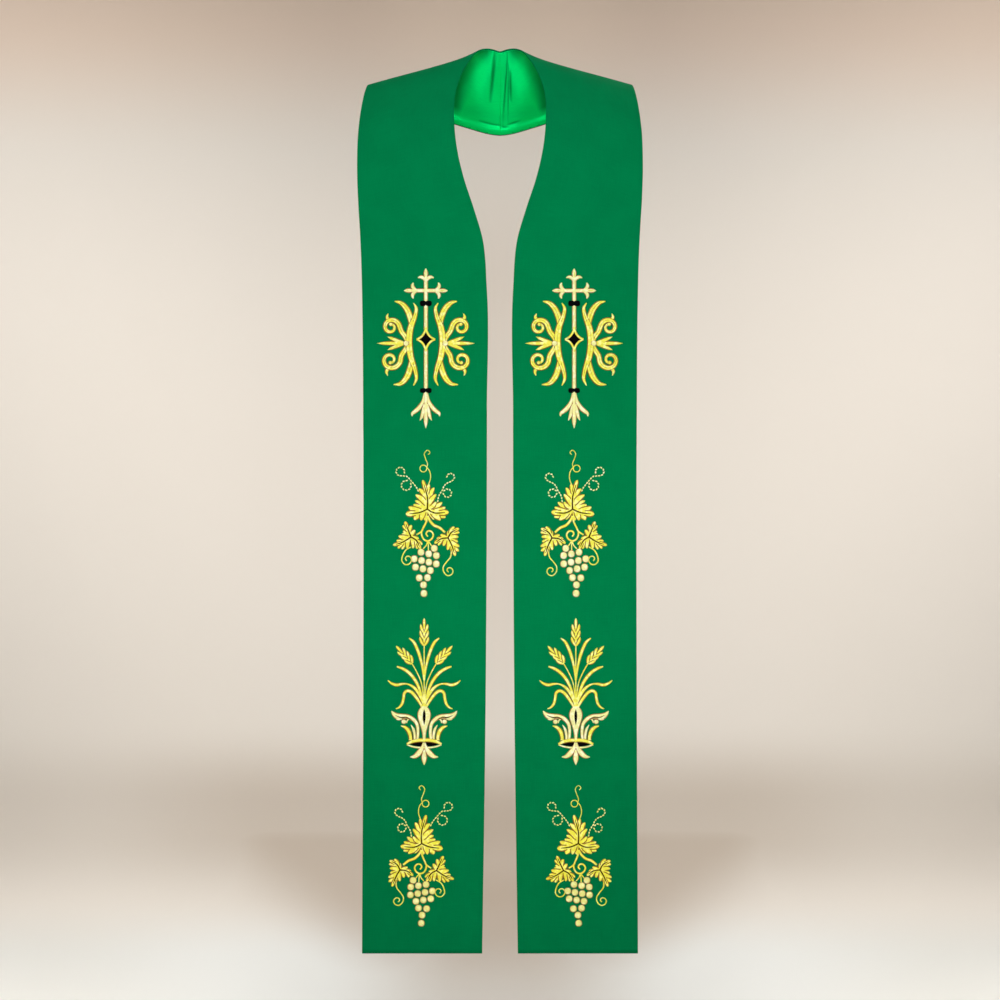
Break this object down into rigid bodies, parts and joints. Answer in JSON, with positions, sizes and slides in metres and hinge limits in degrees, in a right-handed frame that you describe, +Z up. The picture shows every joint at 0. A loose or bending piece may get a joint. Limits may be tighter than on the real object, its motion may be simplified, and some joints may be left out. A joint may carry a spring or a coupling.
{
  "type": "clerical stole",
  "caption": "Lined stole that hangs round a wearer's neck: two long straight bands joined at the back of the neck, with embroidered ornament, filled out with nobody in it.",
  "frame": {"origin": "on the centre plane where the wearer's neck carries the stole, level with the shoulder line beside the neck", "axes": "+Z up along the hanging bands, -Y towards the front, +X to the right as seen from the front"},
  "size_m": [0.3434, 0.1995, 1.0864],
  "materials": {
    "face_cloth": "matte fine-woven green",
    "lining": "bright green satin",
    "gold_thread": "glossy satin-stitch thread",
    "cream_thread": "glossy satin-stitch thread",
    "bronze_thread": "outline thread",
    "black_thread": "satin-stitch thread"
  },
  "bodies": {
    "root": {"face_left": "face_cloth", "face_right": "face_cloth", "lining_left": "lining", "lining_right": "lining"}
  },
  "joints": []
}
